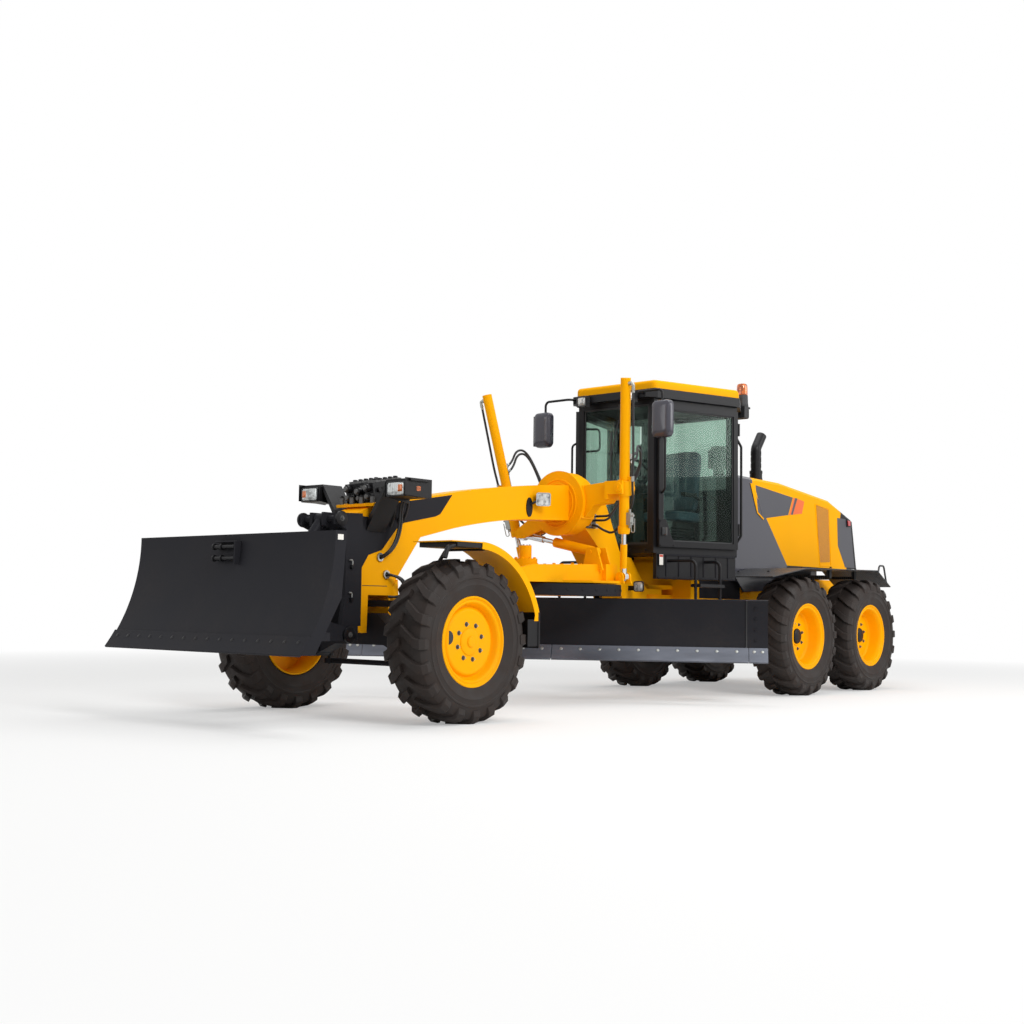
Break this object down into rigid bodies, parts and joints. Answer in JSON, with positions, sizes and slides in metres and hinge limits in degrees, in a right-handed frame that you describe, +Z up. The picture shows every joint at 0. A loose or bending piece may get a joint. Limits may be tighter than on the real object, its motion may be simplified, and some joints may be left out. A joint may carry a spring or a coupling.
{
  "type": "motor grader",
  "caption": "Motor grader with gooseneck frame, glazed cab, tandem drive, leaning front wheels, turning circle with curved blade, and a front dozer blade.",
  "frame": {"origin": "on the ground under the middle of the machine, on its centre plane", "axes": "+X forward, towards the front dozer blade; +Y to the operator's left; +Z up"},
  "size_m": [10.39, 3.6956, 3.4848],
  "materials": {
    "yellow_paint": "semi-gloss enamel",
    "black_paint": "satin enamel",
    "charcoal_paint": "semi-gloss enamel",
    "tyre": "matt rubber",
    "chrome": "polished",
    "glass": "clear",
    "cast_iron": "painted casting",
    "seat_vinyl": "vinyl",
    "dark_plastic": "grained",
    "bare_steel": "machined"
  },
  "bodies": {
    "chassis": {"rear_frame": "yellow_paint", "rear_axle": "charcoal_paint", "engine": "cast_iron", "engine_hood": "yellow_paint", "front_cowl": "charcoal_paint", "tail_grille": "black_paint", "exhaust_stack": "charcoal_paint", "air_precleaner": "charcoal_paint", "rear_fenders": "charcoal_paint", "rear_bumper": "yellow_paint", "cab_frame": "black_paint", "cab_roof": "yellow_paint", "cab_windows": "glass", "seat_base": "dark_plastic", "seat_cushion": "seat_vinyl", "seat_back": "seat_vinyl", "cab_console": "dark_plastic", "side_boxes": "charcoal_paint", "ladders": "charcoal_paint", "mirrors": "black_paint", "roof_lamps": "dark_plastic"},
    "front_chassis": {"front_frame": "yellow_paint", "saddle": "yellow_paint", "valve_block": "black_paint", "headlamps": "black_paint", "dozer_mount": "yellow_paint", "drawbar_ball": "bare_steel", "front_axle": "yellow_paint"},
    "wheel_front_left": {"wheel_front_left": "tyre"},
    "wheel_front_right": {"wheel_front_right": "tyre"},
    "wheel_mid_left": {"wheel_mid_left": "tyre"},
    "wheel_mid_right": {"wheel_mid_right": "tyre"},
    "wheel_rear_left": {"wheel_rear_left": "tyre"},
    "wheel_rear_right": {"wheel_rear_right": "tyre"},
    "lean_left": {"lean_bracket_left": "yellow_paint"},
    "lean_right": {"lean_bracket_right": "yellow_paint"},
    "lean_bar": {"lean_bar": "yellow_paint"},
    "knuckle_left": {"knuckle_left": "yellow_paint", "front_fender_left": "yellow_paint"},
    "knuckle_right": {"knuckle_right": "yellow_paint", "front_fender_right": "yellow_paint"},
    "tie_rod_cross": {"tie_rod_cross": "bare_steel"},
    "tie_rod": {"tie_rod": "yellow_paint"},
    "drawbar": {"drawbar": "yellow_paint"},
    "lift_barrel_left": {"lift_barrel_left": "yellow_paint"},
    "lift_rod_left": {"lift_rod_left": "chrome"},
    "lift_barrel_right": {"lift_barrel_right": "yellow_paint"},
    "lift_rod_right": {"lift_rod_right": "chrome"},
    "shift_barrel": {"shift_cylinder": "yellow_paint"},
    "shift_rod": {"shift_cylinder_rod": "chrome"},
    "circle": {"circle": "charcoal_paint"},
    "blade_carrier": {"blade_carrier": "yellow_paint"},
    "moldboard": {"moldboard": "charcoal_paint"},
    "dozer_blade": {"dozer_blade": "yellow_paint"},
    "dozer_barrel": {"dozer_cylinder": "yellow_paint"},
    "dozer_rod": {"dozer_cylinder_rod": "chrome"},
    "door_left": {"door_left": "black_paint", "door_glass_left": "glass"},
    "door_right": {"door_right": "black_paint", "door_glass_right": "glass"}
  },
  "joints": [
    {"name": "articulation", "type": "hinge", "parent": "chassis", "child": "front_chassis", "pos_m": [-0.7, 0, 0.94], "axis": [0, 0, 1], "range_deg": [-25, 25]},
    {"name": "wheel_lean", "type": "hinge", "parent": "front_chassis", "child": "lean_left", "pos_m": [3.45, 0.56, 0.56], "axis": [1, 0, 0], "range_deg": [-15, 15]},
    {"name": "wheel_lean_right", "type": "hinge", "parent": "front_chassis", "child": "lean_right", "pos_m": [3.45, -0.56, 0.56], "axis": [1, 0, 0], "range_deg": [-15, 15]},
    {"name": "lean_bar_pin", "type": "hinge", "parent": "lean_left", "child": "lean_bar", "pos_m": [3.45, 0.56, 0.95], "axis": [1, 0, 0], "range_deg": [-15, 15]},
    {"name": "steering", "type": "hinge", "parent": "lean_left", "child": "knuckle_left", "pos_m": [3.45, 0.74, 0.652], "axis": [0, 0, 1], "range_deg": [-45, 45]},
    {"name": "steering_right", "type": "hinge", "parent": "lean_right", "child": "knuckle_right", "pos_m": [3.45, -0.74, 0.652], "axis": [0, 0, 1], "range_deg": [-45, 45]},
    {"name": "tie_rod_swivel", "type": "hinge", "parent": "knuckle_left", "child": "tie_rod_cross", "pos_m": [3.2, 0.74, 0.43], "axis": [0, 0, 1], "range_deg": [-45, 45]},
    {"name": "tie_rod_tilt", "type": "hinge", "parent": "tie_rod_cross", "child": "tie_rod", "pos_m": [3.2, 0.74, 0.43], "axis": [1, 0, 0], "range_deg": [-11.42, 11.42]},
    {"name": "spin_front_left", "type": "hinge", "parent": "knuckle_left", "child": "wheel_front_left", "pos_m": [3.45, 1.0775, 0.652], "axis": [0, 1, 0], "continuous": true},
    {"name": "spin_front_right", "type": "hinge", "parent": "knuckle_right", "child": "wheel_front_right", "pos_m": [3.45, -1.0775, 0.652], "axis": [0, 1, 0], "continuous": true},
    {"name": "spin_mid_left", "type": "hinge", "parent": "chassis", "child": "wheel_mid_left", "pos_m": [-2.08, 1.0775, 0.652], "axis": [0, 1, 0], "continuous": true},
    {"name": "spin_mid_right", "type": "hinge", "parent": "chassis", "child": "wheel_mid_right", "pos_m": [-2.08, -1.0775, 0.652], "axis": [0, 1, 0], "continuous": true},
    {"name": "spin_rear_left", "type": "hinge", "parent": "chassis", "child": "wheel_rear_left", "pos_m": [-3.62, 1.0775, 0.652], "axis": [0, 1, 0], "continuous": true},
    {"name": "spin_rear_right", "type": "hinge", "parent": "chassis", "child": "wheel_rear_right", "pos_m": [-3.62, -1.0775, 0.652], "axis": [0, 1, 0], "continuous": true},
    {"name": "drawbar_lift", "type": "hinge", "parent": "front_chassis", "child": "drawbar", "pos_m": [3.12, 0, 0.93], "axis": [0, 1, 0], "range_deg": [-10, 1]},
    {"name": "lift_pivot_left", "type": "hinge", "parent": "front_chassis", "child": "lift_barrel_left", "pos_m": [0.725, 0.757, 2.12], "axis": [0.6882, -0.7251, -0.0257], "range_deg": [-0.44, 3.91]},
    {"name": "lift_extend_left", "type": "slide", "parent": "lift_barrel_left", "child": "lift_rod_left", "axis": [-0.1803, -0.1366, -0.9741], "range_m": [-0.04642, 0.44617]},
    {"name": "lift_pivot_right", "type": "hinge", "parent": "front_chassis", "child": "lift_barrel_right", "pos_m": [0.725, -0.757, 2.12], "axis": [-0.6882, -0.7251, 0.0257], "range_deg": [-0.44, 3.91]},
    {"name": "lift_extend_right", "type": "slide", "parent": "lift_barrel_right", "child": "lift_rod_right", "axis": [-0.1803, 0.1366, -0.9741], "range_m": [-0.04642, 0.44617]},
    {"name": "shift_pivot", "type": "hinge", "parent": "drawbar", "child": "shift_barrel", "pos_m": [0.72, 0.4, 1.495], "axis": [-0.9205, 0.0794, 0.3826], "range_deg": [-2.38, 23.36]},
    {"name": "shift_extend", "type": "slide", "parent": "shift_barrel", "child": "shift_rod", "axis": [0, -0.9792, 0.2031], "range_m": [-0.01775, 0.15946]},
    {"name": "circle_turn", "type": "hinge", "parent": "drawbar", "child": "circle", "pos_m": [0.9, 0, 1.112], "axis": [0, 0, 1], "range_deg": [-77, 13]},
    {"name": "blade_tip", "type": "hinge", "parent": "circle", "child": "blade_carrier", "pos_m": [0.69223, -0.12983, 0.64], "axis": [-0.5299, 0.848, 0], "range_deg": [-3, 30]},
    {"name": "blade_shift", "type": "slide", "parent": "blade_carrier", "child": "moldboard", "axis": [-0.5299, 0.848, 0], "range_m": [-0.45, 0.45]},
    {"name": "dozer_lift", "type": "hinge", "parent": "front_chassis", "child": "dozer_blade", "pos_m": [3.905, 0, 0.69], "axis": [0, 1, 0], "range_deg": [-3, 25]},
    {"name": "dozer_cylinder_pivot", "type": "hinge", "parent": "front_chassis", "child": "dozer_barrel", "pos_m": [3.97, 0, 1.645], "axis": [0, 1, 0], "range_deg": [-1.14, 9.15]},
    {"name": "dozer_cylinder_extend", "type": "slide", "parent": "dozer_barrel", "child": "dozer_rod", "axis": [0.6156, 0, -0.7881], "range_m": [-0.03299, 0.26021]},
    {"name": "door_left_hinge", "type": "hinge", "parent": "chassis", "child": "door_left", "pos_m": [-1.24232, 0.86484, 2.34], "axis": [0, 0, 1], "range_deg": [0, 85]},
    {"name": "door_right_hinge", "type": "hinge", "parent": "chassis", "child": "door_right", "pos_m": [-1.24232, -0.86484, 2.34], "axis": [0, 0, -1], "range_deg": [0, 85]}
  ],
  "couplings": [
    {"joint": "wheel_lean_right", "follows": "wheel_lean", "ratio": 1},
    {"joint": "lean_bar_pin", "follows": "wheel_lean", "ratio": -1},
    {"joint": "steering_right", "follows": "steering", "ratio": 1},
    {"joint": "tie_rod_swivel", "follows": "steering", "ratio": -1},
    {"joint": "tie_rod_tilt", "follows": "wheel_lean", "ratio": -0.75784},
    {"joint": "lift_pivot_left", "follows": "drawbar_lift", "ratio": -0.38603},
    {"joint": "lift_extend_left", "follows": "drawbar_lift", "m_per_rad": -2.5449},
    {"joint": "lift_pivot_right", "follows": "drawbar_lift", "ratio": -0.38603},
    {"joint": "lift_extend_right", "follows": "drawbar_lift", "m_per_rad": -2.5449},
    {"joint": "shift_pivot", "follows": "drawbar_lift", "ratio": -2.3307},
    {"joint": "shift_extend", "follows": "drawbar_lift", "m_per_rad": -0.90218},
    {"joint": "dozer_cylinder_pivot", "follows": "dozer_lift", "ratio": 0.36409},
    {"joint": "dozer_cylinder_extend", "follows": "dozer_lift", "m_per_rad": 0.59178}
  ]
}
